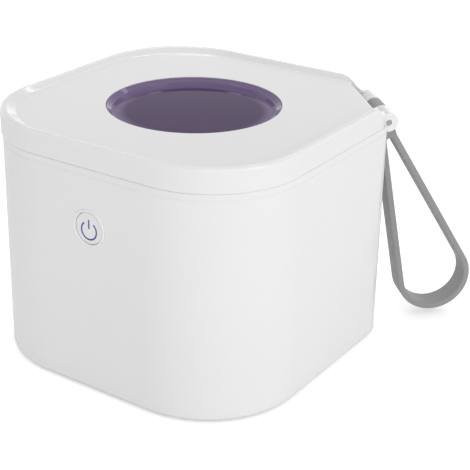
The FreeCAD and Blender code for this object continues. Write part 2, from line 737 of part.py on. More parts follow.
def make_base_shell():
    """The outer shell: drafted walls, inner ledge, screw posts, hinge knuckles and their reliefs."""
    body = plan_body("shell_walls")
    low = sketch_in(body, "shell_outline", level=s.base_level)
    plan_loop(low, s.body_half + s.body_draft, s.body_corner + s.body_draft,
              s.facet_reach + s.body_draft, s.facet_round + s.body_draft)
    walls = pad(body, low, s.part_line - s.base_level, "shell_block")
    walls.TaperAngle = -1.0
    draft_text = "-atan(%s / %s)" % (s.body_draft.text, (s.part_line - s.base_level).text)
    walls.setExpression("TaperAngle", draft_text)
    doc.recompute()
    lower = round_off(body, walls, edges_at(walls, s.base_level.value), s.lower_edge, "lower_round")
    round_off(body, lower, edges_at(lower, s.part_line.value), s.upper_edge, "upper_round")
    groove = sketch_in(body, "groove_outline", level=s.part_line - s.band_drop)
    plan_loop(groove, s.body_half + s.shell_wall, s.body_corner + s.shell_wall,
              s.facet_reach + s.shell_wall, s.facet_round + s.shell_wall)
    plan_loop(groove, s.body_half - s.band_depth, s.body_corner - s.band_depth,
              s.facet_reach - s.band_depth, s.facet_round - s.band_depth)
    pocket(body, groove, s.band_width, "band_groove")
    cavity = sketch_in(body, "cavity_outline", level=s.base_level)
    plan_loop(cavity, cavity_half, cavity_corner, cavity_reach, cavity_round)
    pocket(body, cavity, ledge_base - s.base_level, "cavity", upward=True)
    mouth = sketch_in(body, "mouth_outline", level=s.part_line)
    plan_loop(mouth, mouth_half, mouth_corner, cup_reach + s.cup_gap, cup_round + s.cup_gap)
    pocket(body, mouth, s.flange_thick + s.ledge_thick + s.seat_gap, "mouth")
    rebate = sketch_in(body, "rebate_outline", level=s.part_line)
    plan_loop(rebate, flange_half + s.seat_gap, flange_corner + s.seat_gap,
              flange_reach + s.seat_gap, s.facet_round)
    pocket(body, rebate, s.flange_thick, "rebate")

    solids = [body]
    post_tall = ledge_base + s.ledge_thick / 2 - post_base
    for number, ((reach, outer), (x, y)) in enumerate(zip(post_places(), HEADINGS)):
        post = drum("post_%d" % number, s.post_radius, post_tall)
        solids.append(put(post, reach * x, reach * y, post_base))
        start = reach + s.post_radius / 2
        length = outer - s.shell_wall * 0.75 - start
        web = block("web_%d" % number, length, s.post_web, ledge_base - post_base + s.seat_gap)
        web_x = start * x + s.post_web / 2 * y
        web_y = start * y - s.post_web / 2 * x
        solids.append(put(web, web_x, web_y, post_base, 90.0 * number))
    solids += on_both_sides("base_knuckle", s.knuckle_radius, strap_gap_start, s.base_knuckle_wide)
    for number, side in enumerate((-1, 1)):
        shift = s.button_offset + s.stake_side * side
        post = drum("stake_post_%d" % number, s.stake_post, s.shell_wall / 2 + wall_behind - panel_front)
        solids.append(put_wall(post, BUTTON_ANGLE, button_face + panel_front, shift, button_height))
        pin = drum("stake_pin_%d" % number, s.stake_pin, s.panel_thick + s.stake_pin)
        solids.append(put_wall(pin, BUTTON_ANGLE, button_face + panel_back, shift, button_height))
    whole = joined("shell_solids", solids)

    tools = []
    relief = s.knuckle_radius + s.knuckle_relief
    tools += on_both_sides("knuckle_relief", relief, lid_knuckle_start - s.hinge_gap / 2,
                           s.lid_knuckle_wide + s.hinge_gap * 2)
    eye_relief = s.strap_eye + s.knuckle_relief
    eye_half = strap_gap_start
    tools.append(hinge_drum("eye_relief", eye_relief, -eye_half, eye_half * 2))
    slot = block("neck_relief", eye_half * 2, s.strap_eye * 2, s.strap_neck + s.strap_eye)
    tilted = FreeCAD.Rotation(Vector(1, 0, 0), s.strap_tilt.value)
    slot.Placement = FreeCAD.Placement(Vector(0, 0, 0), tilted)
    slot.setExpression("Placement.Rotation.Angle", s.strap_tilt.text + " * 1 deg")
    down = s.strap_neck + s.strap_eye
    bind(slot, "Placement.Base.x", -eye_half)
    bind(slot, "Placement.Base.y", hinge_y + down * sine(s.strap_tilt) - eye_relief * cosine(s.strap_tilt))
    bind(slot, "Placement.Base.z", hinge_z - down * cosine(s.strap_tilt) - eye_relief * sine(s.strap_tilt))
    tools.append(slot)
    pin_hole = hinge_drum("base_pin_hole", s.pin_radius + s.thread_gap, -base_knuckle_end * 1.5,
                          base_knuckle_end * 3)
    tools.append(pin_hole)
    for number, ((reach, outer), (x, y)) in enumerate(zip(post_places(), HEADINGS)):
        hole = drum("screw_hole_%d" % number, s.screw_radius + s.thread_gap, s.screw_length * 1.2)
        tools.append(put(hole, reach * x, reach * y, s.base_level))
    magnet_hole = drum("magnet_hole", s.magnet_radius + s.magnet_gap, s.base_magnet_thick + s.seat_gap * 2)
    tools.append(put(magnet_hole, 0.0, -magnet_reach, flange_base - s.base_magnet_thick - s.seat_gap))
    button_hole = drum("button_hole", s.ring_radius + s.ring_gap, s.shell_wall * 3)
    tools.append(put_wall(button_hole, BUTTON_ANGLE, button_face - s.shell_wall * 2,
                          s.button_offset, button_height))
    port_hole = wall_block("port_hole", s.port_wide + s.port_gap * 2, s.port_tall + s.port_gap * 2,
                           s.shell_wall * 2, SOCKET_ANGLE, cavity_half - s.shell_wall / 2, 0.0, port_height)
    tools.append(port_hole)
    keep(cut("base_shell", whole, tools), "base_shell")


def make_chamber_liner():
    """The bright cup that lines the chamber, with the flange that hangs it from the shell."""
    body = plan_body("chamber_liner")
    rim = sketch_in(body, "flange_outline", level=flange_base)
    plan_loop(rim, flange_half, flange_corner, flange_reach, s.facet_round)
    pad(body, rim, s.flange_thick, "flange")
    cup = sketch_in(body, "cup_outline", level=cup_base)
    plan_loop(cup, cup_half, cup_corner, cup_reach, cup_round)
    pad(body, cup, s.part_line - cup_base, "cup")
    inside = sketch_in(body, "chamber_outline", level=s.part_line)
    plan_loop(inside, chamber_half, chamber_corner, chamber_reach, s.facet_round)
    hollow = pocket(body, inside, s.part_line - chamber_floor, "chamber")
    floor_edges = edges_at(hollow, chamber_floor.value)
    round_off(body, hollow, floor_edges, s.chamber_fillet, "floor_round")
    hole = sketch_in(body, "lamp_hole_outline", level=chamber_floor)
    round_loop(hole, 0.0, 0.0, s.lamp_hole)
    pocket(body, hole, s.floor_wall * 2, "lamp_hole")
    keep(body, "chamber_liner")


def make_bottom_cover():
    """The cover that closes the base: seats for the pad and screws, board posts and cell rails."""
    body = plan_body("bottom_cover")
    plate = sketch_in(body, "cover_outline", level=s.base_level)
    plan_loop(plate, cavity_half - s.cover_gap, cavity_corner - s.cover_gap,
              cavity_reach - s.cover_gap, cavity_round - s.cover_gap)
    pad(body, plate, s.cover_thick, "plate")
    seat = sketch_in(body, "pad_seat_outline", level=s.base_level)
    plan_loop(seat, pad_half + s.seat_gap, pad_corner + s.seat_gap, pad_reach + s.seat_gap, s.facet_round)
    pocket(body, seat, s.pad_thick - s.base_level, "pad_seat", upward=True)
    posts = sketch_in(body, "board_posts_outline", level=cover_top)
    for across, along in board_screw_places():
        round_loop(posts, across, along, s.board_post)
    pad(body, posts, s.board_lift, "board_posts")
    rails = sketch_in(body, "rails_outline", level=cover_top)
    room_wide = s.cell_width + s.cell_gap * 2
    room_long = s.cell_length + s.cell_gap * 2
    frame_loop(rails, cell_centre, 0.0, room_wide + s.rail_thick * 2, room_long + s.rail_thick * 2)
    frame_loop(rails, cell_centre, 0.0, room_wide, room_long)
    pad(body, rails, s.rail_tall, "cell_rails")
    sinks = sketch_in(body, "head_seats_outline", level=s.base_level)
    for across, along in post_plan_places():
        round_loop(sinks, across, along, s.screw_head + s.seat_gap)
    pocket(body, sinks, s.screw_head_thick, "head_seats", upward=True)
    holes = sketch_in(body, "screw_holes_outline", level=s.base_level)
    for across, along in post_plan_places():
        round_loop(holes, across, along, s.screw_radius + s.seat_gap)
    pocket(body, holes, s.cover_thick, "screw_holes", upward=True)
    pilots = sketch_in(body, "pilot_holes_outline", level=board_base)
    for across, along in board_screw_places():
        round_loop(pilots, across, along, s.small_screw + s.thread_gap)
    pocket(body, pilots, s.board_lift, "pilot_holes")
    keep(body, "bottom_cover")


def board_screw_places():
    """Where the control board is screwed down, in the turned plan."""
    near = board_edge - s.board_inset
    far = board_inner + s.board_inset
    side = s.board_length / 2 - s.board_inset
    return [(-near, side), (-near, -side), (-far, side), (-far, -side)]


def make_base_pad():
    """The non-slip pad that the box stands on."""
    body = plan_body("base_pad")
    sheet = sketch_in(body, "pad_outline", level=0.0)
    plan_loop(sheet, pad_half, pad_corner, pad_reach, s.facet_round)
    slab = pad(body, sheet, s.pad_thick, "slab")
    doc.recompute()
    round_off(body, slab, edges_at(slab, 0.0), s.pad_edge, "pad_round")
    keep(body, "base_pad")


def screw(name, radius, length, head_radius, head_thick):
    """A screw with a round head and a cross recess, its thread along +z from its own origin."""
    shank = drum(name + "_shank", radius, length)
    head = drum(name + "_head", head_radius, head_thick)
    bind(head, "Placement.Base.z", -as_size(head_thick))
    whole = joined(name + "_solid", [shank, head])
    slots = []
    wide = as_size(radius) * 0.4
    long = as_size(head_radius) * 1.2
    for number, (length_x, length_y) in enumerate(((long, wide), (wide, long))):
        slot = block("%s_slot_%d" % (name, number), length_x, length_y, as_size(head_thick) * 0.6)
        bind(slot, "Placement.Base.x", -length_x / 2)
        bind(slot, "Placement.Base.y", -length_y / 2)
        bind(slot, "Placement.Base.z", -as_size(head_thick))
        slots.append(slot)
    return cut(name, whole, slots)


def group(name, pieces):
    """Several like solids as one node."""
    compound = doc.addObject("Part::Compound", name)
    compound.Links = pieces
    return keep(compound, name)


def make_screws():
    """Four screws through the bottom cover and four for the control board."""
    pieces = []
    for number, (across, along) in enumerate(post_plan_places()):
        piece = screw("base_screw_%d" % number, s.screw_radius, s.screw_length,
                      s.screw_head, s.screw_head_thick)
        pieces.append(put_plan(piece, across, along, s.base_level + s.screw_head_thick))
    group("base_screws", pieces)
    pieces = []
    length = s.board_lift + s.board_thick - s.seat_gap * 2
    for number, (across, along) in enumerate(board_screw_places()):
        piece = screw("board_screw_%d" % number, s.small_screw, length, s.small_head, s.small_screw)
        x = (across - along) / ROOT_TWO
        y = (across + along) / ROOT_TWO
        put(piece, x, y, board_top)
        piece.Placement = FreeCAD.Placement(piece.Placement.Base, FreeCAD.Rotation(Vector(1, 0, 0), 180))
        pieces.append(piece)
    group("board_screws", pieces)


def make_control_board():
    """The control board on its posts, with the connectors for the three leads and its chip."""
    plate = plan_block("board_plate", s.board_width, s.board_length, s.board_thick,
                       -board_middle, 0.0, board_base)
    solids = [plate]
    for number, (across, along) in enumerate(plug_places()):
        solids.append(plan_block("plug_%d" % number, s.plug_width, s.plug_length, s.plug_tall,
                                 across, along, board_top))
    solids.append(plan_block("chip", s.plug_length * 1.5, s.plug_length * 1.5, s.board_thick,
                             -board_middle, s.board_length / 4, board_top))
    whole = joined("board_solids", solids)
    holes = []
    for number, (across, along) in enumerate(board_screw_places()):
        hole = drum("board_hole_%d" % number, s.small_screw + s.seat_gap, s.board_thick * 3)
        holes.append(put_plan(hole, across, along, board_base - s.board_thick))
    keep(cut("control_board", whole, holes), "control_board")


def plug_places():
    """Where the control board's connectors stand, in the turned plan: lamp, cell and switch."""
    edge = board_inner + s.plug_width / 2
    quarter = s.board_length / 4
    far = s.board_length / 2 - s.plug_length / 2
    return [(-edge, 0.0), (-edge, quarter), (-board_middle, -far)]


def make_battery():
    """The flat cell on the bottom cover."""
    cell = plan_block("cell_block", s.cell_width, s.cell_length, s.cell_thick,
                      cell_centre, 0.0, cell_base)
    doc.recompute()
    fillet = doc.addObject("Part::Fillet", "battery_cell")
    fillet.Base = cell
    radius = s.cell_round.value
    fillet.Edges = [(number, radius, radius) for number in range(1, len(cell.Shape.Edges) + 1)]
    keep(fillet, "battery_cell")


def rounded_bar_loop(sketch, wide, tall):
    """An upright slot shape, as wide and tall as given, with half-round ends left and right."""
    wide = as_size(wide)
    tall = as_size(tall)
    run = wide / 2 - tall / 2
    radius = tall / 2
    parts = chain(sketch, [
        line((-run.value, -radius.value), (run.value, -radius.value)),
        arc((run.value, 0), radius.value, -90, 90),
        line((run.value, radius.value), (-run.value, radius.value)),
        arc((-run.value, 0), radius.value, 90, 270),
    ])
    hold(sketch, "Horizontal", parts[0])
    hold(sketch, "Radius", parts[1], radius)
    distance_from_origin(sketch, parts[1], 3, run, 0.0)
    distance_from_origin(sketch, parts[3], 3, -run, 0.0)


def make_charging_socket():
    """The metal shell of the charging socket and the tongue inside it."""
    body = put_wall(new_body("charging_socket"), SOCKET_ANGLE, port_mouth - s.port_deep, 0.0, port_height)
    shell = sketch_in(body, "socket_outline", level=0.0)
    rounded_bar_loop(shell, s.port_wide, s.port_tall)
    pad(body, shell, s.port_deep, "socket_block")
    inside = sketch_in(body, "socket_mouth_outline", level=s.port_deep)
    rounded_bar_loop(inside, s.port_wide - s.port_wall * 2, s.port_tall - s.port_wall * 2)
    pocket(body, inside, s.port_deep - s.port_wall * 2, "socket_mouth")
    keep(body, "charging_socket")
    tongue = wall_block("socket_tongue", s.tongue_wide, s.tongue_thick, s.tongue_deep, SOCKET_ANGLE,
                        port_mouth - s.port_deep + s.port_wall * 2, 0.0, port_height)
    keep(tongue, "socket_tongue")


def make_button():
    """The ring, the cap with its inlaid power symbol, and the switch behind them."""
    ring = put_wall(new_body("button_ring"), BUTTON_ANGLE, button_face, s.button_offset, button_height)
    edge = s.ring_proud * 0.8
    turned(ring, "ring", [
        (s.ring_bore, ring_back), (s.ring_radius + s.ring_flange, ring_back),
        (s.ring_radius + s.ring_flange, wall_behind), (s.ring_radius, wall_behind),
        (s.ring_radius, s.ring_proud - edge), (s.ring_radius - edge, s.ring_proud),
        (s.ring_bore + edge, s.ring_proud), (s.ring_bore, s.ring_proud - edge),
    ])
    keep(ring, "button_ring")

    cap = put_wall(new_body("button_cap"), BUTTON_ANGLE, button_face, s.button_offset, button_height)
    turned(cap, "cap", [
        (0.0, nub_back), (s.nub_radius, nub_back), (s.nub_radius, cap_flange_back),
        (cap_radius + s.cap_flange, cap_flange_back), (cap_radius + s.cap_flange, cap_flange_front),
        (cap_radius, cap_flange_front), (cap_radius, cap_front - s.cap_edge),
        (cap_radius - s.cap_edge, cap_front), (0.0, cap_front),
    ])
    doc.recompute()
    seat = sketch_in(cap, "symbol_seat_outline", level=cap_front)
    symbol_loops(seat, s.icon_stroke + s.thread_gap * 2)
    pocket(cap, seat, s.icon_depth, "symbol_seat")
    keep(cap, "button_cap")

    pieces = []
    for name, loop in (("symbol_ring", symbol_ring_loop), ("symbol_bar", symbol_bar_loop)):
        body = put_wall(new_body(name), BUTTON_ANGLE, button_face, s.button_offset, button_height)
        face = sketch_in(body, name + "_outline", level=cap_front - s.icon_depth + s.thread_gap)
        loop(face, s.icon_stroke)
        pad(body, face, s.icon_depth, name + "_pad")
        pieces.append(body)
    group("power_symbol", pieces)

    housing = wall_block("switch_housing", s.switch_side, s.switch_side, s.switch_thick, BUTTON_ANGLE,
                         button_face + panel_front, s.button_offset, button_height)
    bore = drum("switch_bore", s.plunger_radius + s.plunger_gap, s.switch_thick * 2)
    put_wall(bore, BUTTON_ANGLE, button_face + panel_front, s.button_offset, button_height)
    keep(cut("tact_switch", housing, [bore]), "tact_switch")
    plunger = drum("switch_plunger", s.plunger_radius, s.plunger_proud + s.plunger_sunk)
    put_wall(plunger, BUTTON_ANGLE, button_face + switch_front - s.plunger_sunk,
             s.button_offset, button_height)
    keep(plunger, "switch_plunger")


def symbol_ring_loop(sketch, stroke):
    """The open ring of the power symbol, with its gap at the top."""
    stroke = as_size(stroke)
    centre = (0.0, -s.icon_drop.value)
    outer = s.icon_radius + stroke / 2
    inner = s.icon_radius - stroke / 2
    start = UPWARD_ANGLE + s.icon_opening.value
    end = UPWARD_ANGLE + WHOLE_ANGLE - s.icon_opening.value

    def point(radius, angle):
        heading = math.radians(angle)
        return (centre[0] + radius * math.cos(heading), centre[1] + radius * math.sin(heading))

    first = sketch.GeometryCount
    sketch.addGeometry([
        arc(centre, outer.value, start, end),
        line(point(outer.value, end), point(inner.value, end)),
        arc(centre, inner.value, start, end),
        line(point(inner.value, start), point(outer.value, start)),
    ])
    outside, right, inside, left = range(first, first + 4)
    hold(sketch, "Coincident", outside, 2, right, 1)
    hold(sketch, "Coincident", right, 2, inside, 2)
    hold(sketch, "Coincident", inside, 1, left, 1)
    hold(sketch, "Coincident", left, 2, outside, 1)
    hold(sketch, "Coincident", outside, 3, inside, 3)
    hold(sketch, "PointOnObject", outside, 3, -2)
    hold(sketch, "DistanceY", outside, 3, -1, 1, s.icon_drop)
    hold(sketch, "Radius", outside, outer)
    hold(sketch, "Radius", inside, inner)
    for number, radius in ((outside, outer), (inside, inner)):
        offset = radius * sine(s.icon_opening)
        hold(sketch, "DistanceX", -1, 1, number, 2, offset)
        hold(sketch, "DistanceX", number, 1, -1, 1, offset)


def symbol_bar_loop(sketch, stroke):
    """The upright bar of the power symbol."""
    middle = (s.icon_bar_low + s.icon_bar_high) / 2 - s.icon_drop
    extra = as_size(stroke) - s.icon_stroke
    frame_loop(sketch, 0.0, middle, stroke, s.icon_bar_high - s.icon_bar_low + extra)


def symbol_loops(sketch, stroke):
    symbol_ring_loop(sketch, stroke)
    symbol_bar_loop(sketch, stroke)


def make_switch_board():
    """The upright board behind the button, with its connector, and the sensor that feels the lid."""
    tall = s.panel_below + s.panel_above
    middle = button_height + (s.panel_above - s.panel_below) / 2
    plate = wall_block("panel_plate", s.panel_width, tall, s.panel_thick, BUTTON_ANGLE,
                       button_face + panel_back, s.button_offset, middle)
    plug = wall_block("panel_plug", s.plug_length, s.plug_width, s.plug_tall * 0.7, BUTTON_ANGLE,
                      button_face + panel_front, s.button_offset,
                      button_height - s.panel_below + s.plug_width / 2)
    whole = joined("panel_solids", [plate, plug])
    holes = []
    for number, side in enumerate((-1, 1)):
        hole = drum("panel_hole_%d" % number, s.stake_pin + s.seat_gap, s.panel_thick * 3)
        shift = s.button_offset + s.stake_side * side
        holes.append(put_wall(hole, BUTTON_ANGLE, button_face + panel_back - s.panel_thick,
                              shift, button_height))
    keep(cut("switch_board", whole, holes), "switch_board")
    sensor = wall_block("lid_sensor", s.sensor_side, s.sensor_side, s.sensor_thick, BUTTON_ANGLE,
                        button_face + panel_front, s.button_offset, button_height + s.sensor_rise)
    keep(sensor, "lid_sensor")


def make_lamp():
    """The ultraviolet lamp under the chamber floor: clear window, holder, board and three lamps."""
    window = put(new_body("lamp_window"), 0.0, 0.0, lamp_window_base)
    edge = s.lamp_window_thick * 0.2
    turned(window, "lamp_disc", [
        (0.0, 0.0), (s.lamp_window - edge, 0.0), (s.lamp_window, edge),
        (s.lamp_window, s.lamp_window_thick), (0.0, s.lamp_window_thick),
    ])
    keep(window, "lamp_window")

    holder = put(new_body("lamp_holder"), 0.0, 0.0, holder_base)
    bore = s.lamp_window + s.holder_gap
    step = s.lamp_window - s.holder_wall / 2
    shelf = s.holder_tall - s.lamp_window_thick
    board_top_inside = s.lamp_board_thick + s.seat_gap
    turned(holder, "holder", [
        (bore, 0.0), (bore + s.holder_wall, 0.0), (bore + s.holder_wall, s.holder_tall),
        (bore, s.holder_tall), (bore, shelf), (step, shelf),
        (step, board_top_inside), (bore, board_top_inside),
    ])
    keep(holder, "lamp_holder")

    disc = put(drum("lamp_disc_board", s.lamp_window, s.lamp_board_thick), 0.0, 0.0, holder_base)
    plug = plan_block("lamp_plug", s.plug_width, s.plug_length, s.plug_tall / 2,
                      -s.lamp_window / 2, 0.0, holder_base - s.plug_tall / 2)
    keep(joined("lamp_board", [disc, plug]), "lamp_board")

    lamps = []
    for number in range(3):
        heading = math.radians(120.0 * number)
        across = s.lamp_circle * math.cos(heading)
        along = s.lamp_circle * math.sin(heading)
        lamps.append(plan_block("lamp_%d" % number, s.lamp_side, s.lamp_side, s.lamp_thick,
                                across, along, holder_base + s.lamp_board_thick))
    group("uv_lamps", lamps)


def make_hinge_pin():
    half = lid_knuckle_end - s.pin_sink
    keep(hinge_drum("hinge_pin", s.pin_radius, -half, half * 2), "hinge_pin")


def make_magnets():
    """The closing magnets at the front corner and the small magnet for the lid sensor."""
    base = drum("base_magnet", s.magnet_radius, s.base_magnet_thick)
    keep(put(base, 0.0, -magnet_reach, flange_base - s.base_magnet_thick), "base_magnet")
    upper = drum("lid_magnet", s.magnet_radius, s.lid_magnet_thick)
    keep(put(upper, 0.0, -magnet_reach, lens_base), "lid_magnet")
    small = drum("sensor_magnet", s.sense_magnet, s.lid_magnet_thick)
    keep(put_plan(small, s.button_offset, -sense_reach, lens_base), "sensor_magnet")


def make_lid_shell():
    """The lid: skirt, raised rim that slopes in to a flat panel, round window hole and hinge ears."""
    body = plan_body("lid_walls")
    around = sketch_in(body, "lid_outline", level=lid_base)
    plan_loop(around, s.body_half, lid_corner, s.facet_reach - s.lid_facet, s.facet_round)
    slab = pad(body, around, crest_height - lid_base, "lid_block")
    doc.recompute()
    crest = round_off(body, slab, edges_at(slab, crest_height.value), s.crest_edge, "crest_round")
    round_off(body, crest, edges_at(crest, lid_base.value), s.skirt_edge, "skirt_round")
    dish = make_panel_dish(body)
    inner = wire_edges_at(dish, crest_height.value, holes=True)
    rim = round_off(body, dish, inner, s.crest_inner, "rim_round")
    round_off(body, rim, wire_edges_at(rim, panel_height.value), s.panel_foot, "foot_round")
    notch = sketch_in(body, "notch_outline", level=crest_height)
    near = notch_reach * ROOT_TWO - panel_half
    ear = lid_knuckle_start + s.notch_lap
    far_side = (s.facet_reach + ear) / ROOT_TWO
    near_side = (s.facet_reach - ear) / ROOT_TWO
    outline(notch, [(panel_half, near), (far_side, near_side), (near_side, far_side), (near, panel_half)])
    pocket(body, notch, crest_height - lid_base, "hinge_notch")
    under = sketch_in(body, "hollow_outline", level=lid_base)
    plan_loop(under, cavity_half, lid_corner - s.shell_wall, notch_reach - s.notch_wall, s.notch_wall)
    pocket(body, under, lid_hollow - lid_base, "lid_hollow", upward=True)
    hole = sketch_in(body, "window_outline", level=panel_height)
    round_loop(hole, 0.0, 0.0, s.window_radius)
    pocket(body, hole, s.lid_panel_thick * 2, "window_hole")

    shaped = cut("lid_ears", body, [make_saddle(), make_edge_cutter()])
    knuckles = on_both_sides("lid_knuckle", s.knuckle_radius, lid_knuckle_start, s.lid_knuckle_wide)
    whole = joined("lid_solids", [shaped] + knuckles)
    reach = s.body_half / 2
    hole = hinge_drum("lid_pin_hole", s.pin_radius + s.pin_gap, -reach, reach * 2)
    keep(cut("lid_shell", whole, [hole]), "lid_shell")


def make_panel_dish(body):
    """Sinks the panel below the rim, with the rim's slope round it."""
    edge_reach = notch_reach + s.notch_past
    low = sketch_in(body, "panel_outline", level=panel_height)
    plan_loop(low, panel_half, panel_corner, edge_reach, s.panel_round)
    high = sketch_in(body, "slope_outline", level=crest_height)
    plan_loop(high, slope_half, slope_corner, edge_reach + slope_half - panel_half, s.panel_round)
    doc.recompute()
    before = body.Shape.Volume
    dish = body.newObject("PartDesign::SubtractiveLoft", "panel_dish")
    dish.Profile = low
    dish.Sections = [high]
    dish.Ruled = True
    doc.recompute()
    if body.Shape.Volume >= before - 1e-6:
        raise ValueError("nothing cut by the panel's dish")
    return dish


def make_saddle():
    """What is cut off the ears: above the curve from the rim to the knuckle, and past the pin.
    The curve is two equal arcs, the first round and the second hollow."""
    body = new_body("saddle")
    sketch = sketch_in(body, "saddle_outline", "YZ_Plane")
    start = hinge_y - s.saddle_reach
    foot = hinge_y - s.saddle_foot
    fall = crest_height - knuckle_top
    run = s.saddle_reach - s.saddle_foot
    radius = (run * run + fall * fall) / (fall * 4)
    sweep = math.degrees(math.atan2(fall.value, run.value)) * 2
    upper = (start.value, crest_height.value - radius.value)
    lower = (foot.value, knuckle_top.value + radius.value)
    above = crest_height + s.lid_tall
    below = hinge_z - s.knuckle_radius * 2
    past = hinge_y + s.knuckle_radius * 4
    places = [(foot, knuckle_top), (hinge_y, knuckle_top), (hinge_y, below), (past, below),
              (past, above), (start, above), (start, crest_height)]
    plain = [(x.value, y.value) for x, y in places]
    first = sketch.GeometryCount
    sketch.addGeometry([line(here, there) for here, there in zip(plain, plain[1:])])
    for number in range(len(places) - 2):
        hold(sketch, "Coincident", first + number, 2, first + number + 1, 1)
    for number, (x, y) in enumerate(places[:-1]):
        distance_from_origin(sketch, first + number, 1, x, y)
    last = first + len(places) - 2
    distance_from_origin(sketch, last, 2, start, crest_height)
    round_arc, hollow_arc = last + 1, last + 2
    sketch.addGeometry([
        arc(upper, radius.value, UPWARD_ANGLE - sweep, UPWARD_ANGLE),
        arc(lower, radius.value, 3 * UPWARD_ANGLE - sweep, 3 * UPWARD_ANGLE),
    ])
    hold(sketch, "Coincident", last, 2, round_arc, 2)
    hold(sketch, "Tangent", round_arc, 1, hollow_arc, 1)
    hold(sketch, "Coincident", hollow_arc, 2, first, 1)
    hold(sketch, "Radius", round_arc, radius)
    hold(sketch, "Radius", hollow_arc, radius)
    hold(sketch, "DistanceX", -1, 1, round_arc, 3, start)
    feature = pad(body, sketch, s.body_half, "saddle_block")
    feature.SideType = "Symmetric"
    return body


def make_edge_cutter():
    """What is cut off to round the panel's straight edge at the notch."""
    body = new_body("edge_cutter")
    sketch = sketch_in(body, "edge_outline", "YZ_Plane")
    start = notch_reach - s.notch_edge
    level = panel_height - s.notch_edge
    past = notch_reach + s.notch_edge
    above = panel_height + s.lens_sink
    places = [(start, panel_height), (start, above), (past, above), (past, level), (notch_reach, level)]
    plain = [(x.value, y.value) for x, y in places]
    first = sketch.GeometryCount
    sketch.addGeometry([line(here, there) for here, there in zip(plain, plain[1:])])
    for number in range(len(places) - 2):
        hold(sketch, "Coincident", first + number, 2, first + number + 1, 1)
    for number, (x, y) in enumerate(places[:-1]):
        distance_from_origin(sketch, first + number, 1, x, y)
    last = first + len(places) - 2
    distance_from_origin(sketch, last, 2, notch_reach, level)
    sketch.addGeometry(arc((start.value, level.value), s.notch_edge.value, 0.0, UPWARD_ANGLE))
    hold(sketch, "Coincident", last + 1, 1, last, 2)
    hold(sketch, "Coincident", last + 1, 2, first, 1)
    hold(sketch, "Radius", last + 1, s.notch_edge)
    straight = panel_half * ROOT_TWO - notch_reach - s.notch_edge
    feature = pad(body, sketch, straight * 2, "edge_block")
    feature.SideType = "Symmetric"
    return body


def make_window_lens():
    """The violet window: a shallow dish that fills the lid's round hole, on a thinner flange."""
    lens = put(new_body("window_lens"), 0.0, 0.0, lens_base)
    radius = s.window_radius - s.lens_gap
    top = s.lens_depth - s.lens_sink
    slope_start = radius - s.lens_edge
    slope_end = slope_start - s.lens_slope
    step_end = slope_end - s.lens_step
    floor = s.lens_depth - s.lens_floor
    flange = s.lens_depth - s.lid_panel_thick - s.lens_gap
    turned(lens, "lens", [
        (0.0, 0.0), (s.window_radius + s.lens_lap, 0.0), (s.window_radius + s.lens_lap, flange),
        (radius, flange), (radius, top - s.lens_edge), (slope_start, top),
        (slope_end, top - s.lens_fall), (step_end, top - s.lens_fall),
        (step_end - s.lens_cut, floor), (0.0, floor),
    ])
    keep(lens, "window_lens")


def make_lid_liner():
    """The inner cover of the lid: a tray glued under the panel, with seats for the magnets."""
    body = plan_body("lid_liner")
    plate = sketch_in(body, "tray_outline", level=tray_base)
    plan_loop(plate, tray_half, tray_corner, tray_reach, s.notch_wall)
    pad(body, plate, lid_hollow - tray_base, "tray_block")
    inside = sketch_in(body, "tray_inside_outline", level=lid_hollow)
    plan_loop(inside, tray_half - s.tray_lip, tray_corner - s.tray_lip,
              tray_reach - s.tray_lip, s.notch_wall)
    pocket(body, inside, lid_hollow - lens_base, "tray_inside")
    step = magnet_reach / ROOT_TWO
    seat_tall = s.lid_magnet_thick * 0.6
    seats = sketch_in(body, "magnet_seats_outline", level=lens_base)
    closing = (-step, -step, s.magnet_radius)
    sensing = (s.button_offset, -sense_reach, s.sense_magnet)
    for across, along, radius in (closing, sensing):
        round_loop(seats, across, along, radius + s.magnet_gap + s.liner_wall / 2)
        round_loop(seats, across, along, radius + s.magnet_gap)
    pad(body, seats, seat_tall, "magnet_seats")
    hole = sketch_in(body, "tray_hole_outline", level=lens_base)
    round_loop(hole, 0.0, 0.0, s.window_radius + s.tray_clear)
    pocket(body, hole, s.tray_thick, "tray_hole")
    keep(body, "lid_liner")


def make_lid_seal():
    """The soft seal round the chamber's mouth, carried by the lid liner."""
    body = plan_body("lid_seal")
    ring = sketch_in(body, "seal_outline", level=s.part_line + s.seal_gap)
    plan_loop(ring, seal_half, seal_corner, seal_reach, s.notch_wall)
    plan_loop(ring, seal_half - s.seal_wide, seal_corner - s.seal_wide,
              seal_reach - s.seal_wide, s.notch_wall / 2)
    pad(body, ring, tray_base - s.part_line - s.seal_gap, "seal_ring")
    keep(body, "lid_seal")


